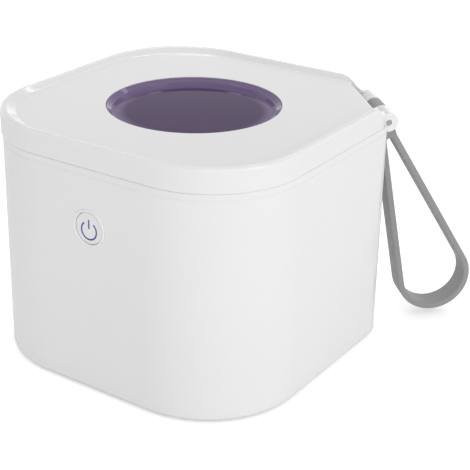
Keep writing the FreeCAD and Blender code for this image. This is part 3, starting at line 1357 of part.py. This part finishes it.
def make_wrist_strap():
    """The strap: an eye on the hinge pin, a neck, and a drop-shaped loop. It hangs at its tilt."""
    body = new_body("wrist_strap")
    rotation = FreeCAD.Rotation(Vector(1, 0, 0), s.strap_tilt.value)
    body.Placement = FreeCAD.Placement(Vector(0, 0, 0), rotation)
    body.setExpression("Placement.Rotation.Angle", s.strap_tilt.text + " * 1 deg")
    bind(body, "Placement.Base.y", hinge_y)
    bind(body, "Placement.Base.z", hinge_z)
    sketch = sketch_in(body, "strap_outline", "YZ_Plane")
    eye = s.strap_eye.value
    neck = s.strap_neck.value
    bow = s.strap_bow.value
    reach = s.strap_reach.value
    thick = s.strap_thick.value
    slant = math.atan2(eye, reach - neck)
    spread = math.asin(bow / math.hypot(reach - neck, eye)) - slant
    degrees = math.degrees(spread)
    touch = (bow * math.cos(spread), -reach + bow * math.sin(spread))
    outer = chain(sketch, [
        arc((0, 0), eye, 0, 180),
        line((-eye, 0), (-eye, -neck)),
        line((-eye, -neck), (-touch[0], touch[1])),
        arc((0, -reach), bow, 180 - degrees, 360 + degrees),
        line(touch, (eye, -neck)),
        line((eye, -neck), (eye, 0)),
    ], sharp=(1, 4))
    top, left, left_slope, bottom, right_slope, right = outer
    hold(sketch, "Coincident", top, 3, -1, 1)
    hold(sketch, "Radius", top, s.strap_eye)
    hold(sketch, "Vertical", left)
    hold(sketch, "Vertical", right)
    hold(sketch, "DistanceY", left, 2, -1, 1, s.strap_neck)
    hold(sketch, "DistanceY", right, 1, -1, 1, s.strap_neck)
    hold(sketch, "PointOnObject", bottom, 3, -2)
    hold(sketch, "DistanceY", bottom, 3, -1, 1, s.strap_reach)
    hold(sketch, "Radius", bottom, s.strap_bow)
    inner_bow = bow - thick
    inner_touch = (inner_bow * math.cos(spread), -reach + inner_bow * math.sin(spread))
    crotch = s.strap_crotch.value
    slope_top = reach - inner_bow / math.sin(spread)
    crotch_y = -(slope_top + crotch / math.sin(spread))
    crotch_touch = (crotch * math.cos(spread), crotch_y + crotch * math.sin(spread))
    inner = chain(sketch, [
        line((-crotch_touch[0], crotch_touch[1]), (-inner_touch[0], inner_touch[1])),
        arc((0, -reach), inner_bow, 180 - degrees, 360 + degrees),
        line(inner_touch, crotch_touch),
        arc((0, crotch_y), crotch, degrees, 180 - degrees),
    ])
    hold(sketch, "Coincident", inner[1], 3, bottom, 3)
    hold(sketch, "Radius", inner[1], s.strap_bow - s.strap_thick)
    hold(sketch, "Radius", inner[3], s.strap_crotch)
    hold(sketch, "PointOnObject", inner[3], 3, -2)
    hold(sketch, "Parallel", inner[0], left_slope)
    round_loop(sketch, 0.0, 0.0, s.pin_radius + s.pin_gap)
    feature = pad(body, sketch, s.strap_width, "strap_block")
    feature.SideType = "Symmetric"
    keep(body, "wrist_strap")


def plan_point(across, along, z):
    """A point of the turned plan in the box's own frame, as plain numbers."""
    across = as_size(across).value
    along = as_size(along).value
    return Vector((across - along) / ROOT_TWO, (across + along) / ROOT_TWO, as_size(z).value)


def lead(name, points):
    """A round lead through points, with each corner bent as wide as its two runs allow."""
    edges = []
    start = points[0]
    for before, corner, after in zip(points, points[1:], points[2:]):
        into = (before - corner).normalize()
        out = (after - corner).normalize()
        shorter = min((before - corner).Length, (after - corner).Length)
        step = 0.45 * shorter
        first = corner + into * step
        last = corner + out * step
        half_turn = (math.pi - into.getAngle(out)) / 2
        radius = step / math.tan(half_turn)
        towards = (into + out).normalize()
        centre = corner + towards * math.hypot(radius, step)
        middle = centre - towards * radius
        edges.append(Part.makeLine(start, first))
        edges.append(Part.Arc(first, middle, last).toShape())
        start = last
    edges.append(Part.makeLine(start, points[-1]))
    path = Part.Wire(edges)
    section = Part.Wire([Part.makeCircle(s.lead_radius.value, points[0], points[1] - points[0])])
    tube = path.makePipeShell([section], True, False)
    measured = tube.Volume
    wanted = math.pi * s.lead_radius.value ** 2 * path.Length
    print(name, "length", round(path.Length, 1), "volume ratio", round(measured / wanted, 4))
    piece = doc.addObject("Part::Feature", name)
    piece.Shape = tube
    keep(piece, name)


def make_leads():
    """The inner leads: lamp board, cell and switch board, each to its connector on the control board."""
    lamp_plug, cell_plug, switch_plug = plug_places()
    lamp_level = holder_base - s.plug_tall / 4
    plug_top = board_top + s.plug_tall
    lead("lamp_lead", [
        plan_point(-s.lamp_window / 2 - s.plug_width / 2, 0.0, lamp_level),
        plan_point(lamp_plug[0], 0.0, lamp_level),
        plan_point(lamp_plug[0], 0.0, plug_top),
    ])
    plug_level = board_top + s.plug_tall / 2
    lead("cell_lead", [
        plan_point(cell_side, cell_plug[1], plug_level),
        plan_point(cell_plug[0] + s.plug_width / 2, cell_plug[1], plug_level),
    ])
    gap_along = -(button_face + panel_front + s.plug_tall * 0.35)
    plug_foot = button_height - s.panel_below
    plug_side = switch_plug[1] - s.plug_length / 2
    out = s.plug_length * 2.5
    lead("switch_lead", [
        plan_point(s.button_offset, gap_along, plug_foot),
        plan_point(s.button_offset, gap_along, cup_base),
        plan_point(switch_plug[0] * 0.5, gap_along * 0.92, plug_level + s.plug_tall),
        plan_point(switch_plug[0], plug_side - out, plug_level),
        plan_point(switch_plug[0], plug_side, plug_level),
    ])


def check_and_write():
    """Stops if any object failed, then writes each piece to its own file."""
    doc.recompute()
    for thing in doc.Objects:
        if "Invalid" in thing.State or "Error" in thing.State:
            raise ValueError("failed: " + thing.Label)
    os.makedirs("parts", exist_ok=True)
    for node in nodes:
        shape = node.Shape
        if shape.isNull() or not shape.isValid():
            raise ValueError("bad shape: " + node.Label)
    for node in nodes:
        node.Shape.exportStep("parts/%s.step" % node.Label)
        print(node.Label, len(node.Shape.Solids), round(node.Shape.Volume, 1))


make_base_shell()
make_chamber_liner()
make_bottom_cover()
make_base_pad()
make_screws()
make_control_board()
make_battery()
make_charging_socket()
make_button()
make_switch_board()
make_lamp()
make_hinge_pin()
make_magnets()
make_lid_shell()
make_window_lens()
make_lid_liner()
make_lid_seal()
make_wrist_strap()
make_leads()
check_and_write()
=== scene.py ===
import json
import math

import bmesh
import bpy
from mathutils import Matrix, Vector


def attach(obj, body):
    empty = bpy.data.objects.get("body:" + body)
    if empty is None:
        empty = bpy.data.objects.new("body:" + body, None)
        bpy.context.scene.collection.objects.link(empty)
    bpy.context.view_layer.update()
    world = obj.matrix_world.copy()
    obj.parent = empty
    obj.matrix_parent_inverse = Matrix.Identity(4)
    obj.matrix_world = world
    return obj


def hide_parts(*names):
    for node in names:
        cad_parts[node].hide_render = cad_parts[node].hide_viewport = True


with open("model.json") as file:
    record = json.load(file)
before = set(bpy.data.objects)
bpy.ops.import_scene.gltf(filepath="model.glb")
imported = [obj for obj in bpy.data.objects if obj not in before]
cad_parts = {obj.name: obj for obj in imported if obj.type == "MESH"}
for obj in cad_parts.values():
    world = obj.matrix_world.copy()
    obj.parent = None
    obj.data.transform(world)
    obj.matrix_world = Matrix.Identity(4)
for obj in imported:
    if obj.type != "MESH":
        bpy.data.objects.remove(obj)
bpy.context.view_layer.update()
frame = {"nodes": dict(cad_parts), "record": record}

nodes = frame["nodes"]
MM = 0.001

# The camera of the photograph, found by fitting the box's outline: degrees, millimetres, pixels
IMAGE_SIZE = 470
CAMERA_AZIMUTH = 80.704
CAMERA_ELEVATION = 24.187
CAMERA_ROLL = 0.284
CAMERA_DISTANCE = 360.19
CAMERA_TARGET = (-0.209, -1.112, 32.8)
FOCAL_PIXELS = 1256.36
PRINCIPAL_POINT = (189.28, 226.79)
SENSOR = 36.0
CLIP_NEAR = 0.01
CLIP_FAR = 20.0

# Noise of the finishes: scales per metre, depths in metres
DRIFT_SCALE = 22.0
DRIFT_LOW = 0.35
DRIFT_HIGH = 0.65
GLOSS_SCALE = 140.0
GLOSS_SPREAD = 0.05
GRAIN_SCALE = 9000.0
GRAIN_DEPTH = 0.00004
PLASTIC_IOR = 1.5
LINES_LOW = 0.3
LINES_HIGH = 0.7
LINES_DARKER = 0.82
LINES_ROUGHER = 0.12
LINES_DEPTH = 0.00003

# The window: painted light, a lighter colour on its edge that stands in for light coming through the
# thin edge, grows from the first radius to the second, in metres
WINDOW_DEEP = (0.043, 0.014, 0.078)
WINDOW_DEEP_DRIFT = (0.049, 0.018, 0.086)
WINDOW_EDGE_PAINTED_LIGHT = (0.20, 0.15, 0.27)
WINDOW_PAINTED_LIGHT_START = 0.0180
WINDOW_PAINTED_LIGHT_END = 0.0222
WINDOW_SHEEN = (0.75, 0.55, 1.0)
WINDOW_ROUGHNESS = 0.07
WINDOW_IOR = 1.235
QUARTZ_IOR = 1.46

# The strap as it is moulded, in millimetres from the middle of its eye, and its tilt at rest
STRAP_EYE_RADIUS = 2.6
STRAP_HOLE_RADIUS = 0.9
STRAP_NECK = 7.95
STRAP_REACH = 55.75
STRAP_BOW_RADIUS = 11.05
STRAP_THICK = 1.85
STRAP_CROTCH_RADIUS = 0.9
STRAP_WIDTH = 6.7
STRAP_EDGE_RADIUS = 0.35
STRAP_TILT = 21.0
STRAP_MERGE = 0.000002
EYE_STEPS = 24
BOW_STEPS = 72
CROTCH_STEPS = 12
HOLE_STEPS = 23
EDGE_STEPS = 3
SHARP_ANGLE = 50.0

# The floor and the surround
FLOOR_HALF = 6.0
FLOOR_SHADE = 0.96
FLOOR_LIFT = 0.36
WORLD_LIGHT = 0.67
WORLD_WHITE = 1.0
BACKDROP_FADE = (0.05, 0.44)
BACKDROP_LOW = 1.6
BACKDROP_HIGH = 0.56

# Soft lights: direction from the box, width and height in metres, radiance
LAMP_DISTANCE = 1.0
LAMP_AIM = (0.0, 0.0, 0.035)
LAMPS = {
    "softbox": ((-0.62, 0.15, 0.66), (1.10, 0.10), 4.5),
    "top": ((0.72, 0.00, 0.68), (0.6, 0.6), 1.10),
    "key": ((0.76, 0.64, 0.18), (0.5, 0.5), 2.10),
    "fill": ((0.90, -0.40, 0.18), (0.7, 0.5), 0.38),
}


def link_object(name, data):
    """A new object in the scene."""
    thing = bpy.data.objects.new(name, data)
    bpy.context.scene.collection.objects.link(thing)
    return thing


def make_camera():
    """The camera at the photograph's viewing angle."""
    azimuth = math.radians(CAMERA_AZIMUTH)
    elevation = math.radians(CAMERA_ELEVATION)
    roll = math.radians(CAMERA_ROLL)
    back = Vector((math.sin(azimuth) * math.cos(elevation),
                   -math.cos(azimuth) * math.cos(elevation), math.sin(elevation)))
    level_right = Vector((math.cos(azimuth), math.sin(azimuth), 0))
    level_up = back.cross(level_right)
    right = level_right * math.cos(roll) + level_up * math.sin(roll)
    up = back.cross(right)
    camera = bpy.data.cameras.new("camera")
    camera.sensor_fit = "HORIZONTAL"
    camera.sensor_width = SENSOR
    camera.lens = SENSOR * FOCAL_PIXELS / IMAGE_SIZE
    middle = IMAGE_SIZE / 2
    camera.shift_x = (middle - PRINCIPAL_POINT[0]) / IMAGE_SIZE
    camera.shift_y = (PRINCIPAL_POINT[1] - middle) / IMAGE_SIZE
    camera.clip_start = CLIP_NEAR
    camera.clip_end = CLIP_FAR
    thing = link_object("camera", camera)
    place = Vector(CAMERA_TARGET) * MM + back * CAMERA_DISTANCE * MM
    axes = Matrix((right, up, back)).transposed().to_4x4()
    thing.matrix_world = Matrix.Translation(place) @ axes
    bpy.context.scene.camera = thing


def empty_tree(owner, output_kind):
    """The node tree of a material or a world, with nothing in it but its output."""
    owner.use_nodes = True
    tree = owner.node_tree
    tree.nodes.clear()
    return tree, tree.nodes.new(output_kind)


class Shader:
    """A node material, built from small steps."""

    def __init__(self, name):
        self.material = bpy.data.materials.new(name)
        self.tree, output = empty_tree(self.material, "ShaderNodeOutputMaterial")
        self.base = self.tree.nodes.new("ShaderNodeBsdfPrincipled")
        self.link(self.base.outputs[0], output.inputs["Surface"])
        self.place = self.tree.nodes.new("ShaderNodeTexCoord").outputs["Object"]

    def link(self, source, target):
        self.tree.links.new(source, target)

    def node(self, kind, **settings):
        made = self.tree.nodes.new(kind)
        for name, value in settings.items():
            setattr(made, name, value)
        return made

    def feed(self, target, value):
        """Gives an input a link, a colour or a number."""
        if hasattr(value, "is_output"):
            self.link(value, target)
        elif hasattr(value, "__len__") and len(value) == 3 and len(target.default_value) == 4:
            target.default_value = (*value, 1.0)
        else:
            target.default_value = value

    def set(self, **values):
        """Sets the surface's inputs, with _ for each space in a name."""
        for name, value in values.items():
            self.feed(self.base.inputs[name.replace("_", " ")], value)

    def noise(self, scale, detail=2.0, rough=0.5, stretch=None):
        source = self.place
        if stretch is not None:
            mapping = self.node("ShaderNodeMapping")
            self.link(source, mapping.inputs["Vector"])
            self.feed(mapping.inputs["Scale"], stretch)
            source = mapping.outputs[0]
        made = self.node("ShaderNodeTexNoise")
        self.link(source, made.inputs["Vector"])
        self.feed(made.inputs["Scale"], scale)
        self.feed(made.inputs["Detail"], detail)
        self.feed(made.inputs["Roughness"], rough)
        return made.outputs["Fac"]

    def ranged(self, value, low, high, out_low=0.0, out_high=1.0, smooth=False):
        made = self.node("ShaderNodeMapRange")
        if smooth:
            made.interpolation_type = "SMOOTHSTEP"
        self.feed(made.inputs["Value"], value)
        self.feed(made.inputs["From Min"], low)
        self.feed(made.inputs["From Max"], high)
        self.feed(made.inputs["To Min"], out_low)
        self.feed(made.inputs["To Max"], out_high)
        return made.outputs[0]

    def maths(self, operation, *values):
        made = self.node("ShaderNodeMath", operation=operation)
        for target, value in zip(made.inputs, values):
            self.feed(target, value)
        return made.outputs[0]

    def mixed(self, share, first, second):
        made = self.node("ShaderNodeMix", data_type="RGBA")
        self.feed(made.inputs["Factor"], share)
        self.feed(made.inputs["A"], first)
        self.feed(made.inputs["B"], second)
        return made.outputs["Result"]

    def bump(self, height, strength, distance):
        made = self.node("ShaderNodeBump")
        self.feed(made.inputs["Strength"], strength)
        self.feed(made.inputs["Distance"], distance)
        self.link(height, made.inputs["Height"])
        self.link(made.outputs[0], self.base.inputs["Normal"])

    def from_axis(self):
        """The distance from the object's upright axis."""
        parts = self.node("ShaderNodeSeparateXYZ")
        self.link(self.place, parts.inputs[0])
        along, across = parts.outputs[0], parts.outputs[1]
        squares = self.maths("ADD", self.maths("MULTIPLY", along, along),
                             self.maths("MULTIPLY", across, across))
        return self.maths("SQRT", squares)


def moulded(name, colour, roughness, grain=0.03, tint=0.985):
    """Moulded plastic: a fine grain, a faint drift of shade and slightly uneven gloss."""
    shader = Shader(name)
    darker = tuple(channel * tint for channel in colour)
    drift = shader.ranged(shader.noise(DRIFT_SCALE, 3.0), DRIFT_LOW, DRIFT_HIGH)
    gloss = shader.maths("MULTIPLY_ADD", shader.noise(GLOSS_SCALE, 3.0), GLOSS_SPREAD,
                         roughness - GLOSS_SPREAD / 2)
    shader.set(Base_Color=shader.mixed(drift, colour, darker), Roughness=gloss, IOR=PLASTIC_IOR)
    shader.bump(shader.noise(GRAIN_SCALE, 2.0, 0.6), grain, GRAIN_DEPTH)
    return shader.material


def metal(name, colour, roughness, stretch=(1, 1, 1), scale=900.0, strength=0.1):
    """Metal with fine drawn or ground lines."""
    shader = Shader(name)
    lines = shader.noise(scale, 3.0, 0.6, stretch)
    darker = tuple(channel * LINES_DARKER for channel in colour)
    shader.set(Base_Color=shader.mixed(shader.ranged(lines, LINES_LOW, LINES_HIGH), colour, darker))
    uneven = shader.ranged(lines, LINES_LOW, LINES_HIGH, roughness, roughness + LINES_ROUGHER)
    shader.set(Metallic=1.0, Roughness=uneven)
    shader.bump(lines, strength, LINES_DEPTH)
    return shader.material


def window_violet():
    """Violet tinted plastic: polished, with painted light on its thin edges, a lighter colour that
    stands in for light coming through them.
    """
    shader = Shader("window_violet")
    drift = shader.ranged(shader.noise(30.0, 2.0), DRIFT_LOW, DRIFT_HIGH)
    deep = shader.mixed(drift, WINDOW_DEEP, WINDOW_DEEP_DRIFT)
    # Painted light: the colour turns lighter towards the edge, standing in for light that comes
    # through it
    painted_edge_light = shader.ranged(shader.from_axis(), WINDOW_PAINTED_LIGHT_START, WINDOW_PAINTED_LIGHT_END, smooth=True)
    shader.set(Base_Color=shader.mixed(painted_edge_light, deep, WINDOW_EDGE_PAINTED_LIGHT), Roughness=WINDOW_ROUGHNESS)
    shader.set(IOR=WINDOW_IOR, Specular_Tint=WINDOW_SHEEN)
    shader.bump(shader.noise(60.0, 1.0), 0.02, 0.0002)
    return shader.material


def clear_quartz():
    """Clear quartz over the lamps."""
    shader = Shader("quartz")
    shader.set(Base_Color=(0.93, 0.95, 1.0), Roughness=0.03, IOR=QUARTZ_IOR, Transmission_Weight=1.0)
    shader.bump(shader.noise(400.0), 0.02, 0.00002)
    return shader.material


make_camera()

shell_white = moulded("shell_white", (0.86, 0.86, 0.865), 0.13, grain=0.015)
inner_white = moulded("inner_white", (0.80, 0.80, 0.81), 0.45, grain=0.06)
cap_white = moulded("cap_white", (0.85, 0.85, 0.855), 0.34)
ring_white = moulded("ring_white", (0.90, 0.90, 0.905), 0.16, grain=0.01)
grey_rubber = moulded("grey_rubber", (0.31, 0.31, 0.315), 0.45, grain=0.12, tint=0.93)
pad_rubber = moulded("pad_rubber", (0.50, 0.50, 0.51), 0.75, grain=0.3, tint=0.92)
seal_rubber = moulded("seal_rubber", (0.62, 0.62, 0.63), 0.6, grain=0.15)
symbol_blue = moulded("symbol_blue", (0.068, 0.062, 0.36), 0.35)
black_plastic = moulded("black_plastic", (0.02, 0.02, 0.021), 0.4, grain=0.1)
board_green = moulded("board_green", (0.012, 0.10, 0.045), 0.3, tint=0.8)
lamp_yellow = moulded("lamp_yellow", (0.75, 0.60, 0.18), 0.3)
foil = metal("foil", (0.60, 0.61, 0.63), 0.35, (1, 1, 1), 160.0, 0.3)
steel = metal("steel", (0.52, 0.52, 0.54), 0.30, (0.1, 1, 1))
pin_steel = metal("pin_steel", (0.42, 0.42, 0.43), 0.42, (0.1, 1, 1))
nickel = metal("nickel", (0.62, 0.61, 0.59), 0.18)
liner_metal = metal("liner_metal", (0.72, 0.73, 0.76), 0.16, (1, 1, 0.1), 300.0, 0.04)
lead_red = moulded("lead_red", (0.45, 0.02, 0.015), 0.5)
lead_black = moulded("lead_black", (0.02, 0.02, 0.02), 0.5)

finishes = {
    "base_shell": shell_white, "lid_shell": shell_white, "bottom_cover": inner_white,
    "lid_liner": inner_white, "lamp_holder": inner_white, "base_pad": pad_rubber,
    "lid_seal": seal_rubber, "button_ring": ring_white, "button_cap": cap_white,
    "power_symbol": symbol_blue, "switch_plunger": black_plastic, "tact_switch": black_plastic,
    "lid_sensor": black_plastic, "socket_tongue": black_plastic, "control_board": board_green,
    "switch_board": board_green, "uv_lamps": lamp_yellow, "battery_cell": foil,
    "base_screws": steel, "board_screws": steel, "hinge_pin": pin_steel, "charging_socket": steel,
    "base_magnet": nickel, "lid_magnet": nickel, "sensor_magnet": nickel,
    "chamber_liner": liner_metal, "lamp_board": foil, "lamp_lead": lead_red,
    "cell_lead": lead_black, "switch_lead": inner_white, "wrist_strap": grey_rubber,
    "window_lens": window_violet(), "lamp_window": clear_quartz(),
}
for node_name, finish in finishes.items():
    for slot in nodes[node_name].material_slots:
        slot.material = finish


def arc_points(centre, radius, start, end, steps):
    """Points along an arc, in degrees."""
    points = []
    for number in range(steps + 1):
        angle = math.radians(start + (end - start) * number / steps)
        points.append((centre[0] + radius * math.cos(angle), centre[1] + radius * math.sin(angle)))
    return points


def strap_loops():
    """The strap's outline, its opening and its pin hole, in millimetres below the pin."""
    bow_middle = (0, -STRAP_REACH)
    below_neck = STRAP_REACH - STRAP_NECK
    spread = (math.asin(STRAP_BOW_RADIUS / math.hypot(below_neck, STRAP_EYE_RADIUS))
              - math.atan2(STRAP_EYE_RADIUS, below_neck))
    turn = math.degrees(spread)
    inner_radius = STRAP_BOW_RADIUS - STRAP_THICK
    crotch_y = -(STRAP_REACH - (inner_radius - STRAP_CROTCH_RADIUS) / math.sin(spread))
    outline = arc_points((0, 0), STRAP_EYE_RADIUS, 0, 180, EYE_STEPS)
    outline.append((-STRAP_EYE_RADIUS, -STRAP_NECK))
    outline += arc_points(bow_middle, STRAP_BOW_RADIUS, 180 - turn, 360 + turn, BOW_STEPS)
    outline.append((STRAP_EYE_RADIUS, -STRAP_NECK))
    opening = arc_points(bow_middle, inner_radius, 180 - turn, 360 + turn, BOW_STEPS)
    opening += arc_points((0, crotch_y), STRAP_CROTCH_RADIUS, turn, 180 - turn, CROTCH_STEPS)
    hole_end = 360 * HOLE_STEPS / (HOLE_STEPS + 1)
    hole = arc_points((0, 0), STRAP_HOLE_RADIUS, 0, hole_end, HOLE_STEPS)
    return outline, opening, hole


def strap_mesh():
    """The strap's loops as a slab with rounded edges, hung on the hinge at its tilt."""
    curve = bpy.data.curves.new("strap_outline", "CURVE")
    curve.dimensions = "2D"
    curve.fill_mode = "BOTH"
    for points in strap_loops():
        spline = curve.splines.new("POLY")
        spline.points.add(len(points) - 1)
        for point, (x, y) in zip(spline.points, points):
            point.co = (x * MM, y * MM, 0, 1)
        spline.use_cyclic_u = True
    curve.extrude = (STRAP_WIDTH / 2 - STRAP_EDGE_RADIUS) * MM
    curve.bevel_depth = STRAP_EDGE_RADIUS * MM
    curve.bevel_resolution = EDGE_STEPS
    curve.offset = -STRAP_EDGE_RADIUS * MM
    drawn = link_object("strap_outline", curve)
    settled = drawn.evaluated_get(bpy.context.evaluated_depsgraph_get())
    mesh = bpy.data.meshes.new_from_object(settled)
    bpy.data.objects.remove(drawn)
    hinge = Vector(frame["record"]["behaviour"]["joints"][0]["pos_m"])
    axes = Matrix(((0, 0, 1), (1, 0, 0), (0, 1, 0))).to_4x4()
    tilt = Matrix.Rotation(math.radians(STRAP_TILT), 4, "X")
    mesh.transform(Matrix.Translation(hinge) @ tilt @ axes)
    mesh.name = "strap"
    cleaned = bmesh.new()
    cleaned.from_mesh(mesh)
    bmesh.ops.remove_doubles(cleaned, verts=cleaned.verts, dist=STRAP_MERGE)
    bmesh.ops.recalc_face_normals(cleaned, faces=cleaned.faces)
    cleaned.to_mesh(mesh)
    cleaned.free()
    for face in mesh.polygons:
        face.use_smooth = True
    mesh.set_sharp_from_angle(angle=math.radians(SHARP_ANGLE))
    mesh.materials.clear()
    mesh.materials.append(grey_rubber)
    return mesh


def make_strap():
    """The moulded rubber strap, in place of the plain solid."""
    strap = link_object("strap", strap_mesh())
    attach(strap, "strap")
    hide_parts("wrist_strap")
    normals = strap.modifiers.new("normals", "WEIGHTED_NORMAL")
    normals.keep_sharp = True


def chosen(tree, share, first, second):
    """The first of two surfaces or backgrounds, or the second where the share is 1."""
    choose = tree.nodes.new("ShaderNodeMixShader")
    tree.links.new(share, choose.inputs[0])
    tree.links.new(first, choose.inputs[1])
    tree.links.new(second, choose.inputs[2])
    return choose.outputs[0]


def make_stage():
    """A pale floor, lifted to white for the camera alone, that keeps the object's shadow."""
    mesh = bpy.data.meshes.new("floor")
    corners = [(-FLOOR_HALF, -FLOOR_HALF, 0), (FLOOR_HALF, -FLOOR_HALF, 0),
               (FLOOR_HALF, FLOOR_HALF, 0), (-FLOOR_HALF, FLOOR_HALF, 0)]
    mesh.from_pydata(corners, [], [(0, 1, 2, 3)])
    floor = link_object("floor", mesh)
    material = bpy.data.materials.new("floor")
    tree, output = empty_tree(material, "ShaderNodeOutputMaterial")
    diffuse = tree.nodes.new("ShaderNodeBsdfDiffuse")
    diffuse.inputs["Color"].default_value = (FLOOR_SHADE, FLOOR_SHADE, FLOOR_SHADE, 1)
    lift = tree.nodes.new("ShaderNodeEmission")
    lift.inputs["Color"].default_value = (1, 1, 1, 1)
    lift.inputs["Strength"].default_value = FLOOR_LIFT
    lifted = tree.nodes.new("ShaderNodeAddShader")
    tree.links.new(diffuse.outputs[0], lifted.inputs[0])
    tree.links.new(lift.outputs[0], lifted.inputs[1])
    path = tree.nodes.new("ShaderNodeLightPath")
    seen = chosen(tree, path.outputs["Is Camera Ray"], diffuse.outputs[0], lifted.outputs[0])
    tree.links.new(seen, output.inputs["Surface"])
    floor.data.materials.append(material)


def make_world():
    """An even pale surround: white to the camera, a pale backdrop in reflections, softer as light."""
    world = bpy.data.worlds.new("world")
    bpy.context.scene.world = world
    tree, output = empty_tree(world, "ShaderNodeOutputWorld")
    path = tree.nodes.new("ShaderNodeLightPath")
    heading = tree.nodes.new("ShaderNodeTexCoord")
    parts = tree.nodes.new("ShaderNodeSeparateXYZ")
    tree.links.new(heading.outputs["Generated"], parts.inputs[0])
    fade = tree.nodes.new("ShaderNodeMapRange")
    fade.interpolation_type = "SMOOTHSTEP"
    tree.links.new(parts.outputs["Z"], fade.inputs["Value"])
    fade.inputs["From Min"].default_value, fade.inputs["From Max"].default_value = BACKDROP_FADE
    fade.inputs["To Min"].default_value = BACKDROP_LOW
    fade.inputs["To Max"].default_value = BACKDROP_HIGH
    light, backdrop, white = (tree.nodes.new("ShaderNodeBackground") for _ in range(3))
    for tone in (light, backdrop, white):
        tone.inputs["Color"].default_value = (1, 1, 1, 1)
    light.inputs["Strength"].default_value = WORLD_LIGHT
    white.inputs["Strength"].default_value = WORLD_WHITE
    tree.links.new(fade.outputs[0], backdrop.inputs["Strength"])
    seen = tree.nodes.new("ShaderNodeMath")
    seen.operation = "MAXIMUM"
    tree.links.new(path.outputs["Is Camera Ray"], seen.inputs[0])
    tree.links.new(path.outputs["Is Transmission Ray"], seen.inputs[1])
    unseen = chosen(tree, path.outputs["Is Glossy Ray"], light.outputs[0], backdrop.outputs[0])
    whole = chosen(tree, seen.outputs[0], unseen, white.outputs[0])
    tree.links.new(whole, output.inputs["Surface"])


def make_lamp(name, direction, size, radiance):
    """A soft light of a width and a height, in a direction from the box, that faces the box."""
    light = bpy.data.lights.new(name, "AREA")
    light.shape = "RECTANGLE"
    light.size, light.size_y = size
    light.energy = radiance * math.pi * size[0] * size[1]
    away = Vector(direction).normalized()
    place = Vector(LAMP_AIM) + away * LAMP_DISTANCE
    turn = (-away).to_track_quat("-Z", "Y").to_matrix().to_4x4()
    link_object(name, light).matrix_world = Matrix.Translation(place) @ turn


make_strap()
make_stage()
make_world()
for lamp_name, settings in LAMPS.items():
    make_lamp(lamp_name, *settings)

bpy.context.scene.view_settings.view_transform = "Standard"
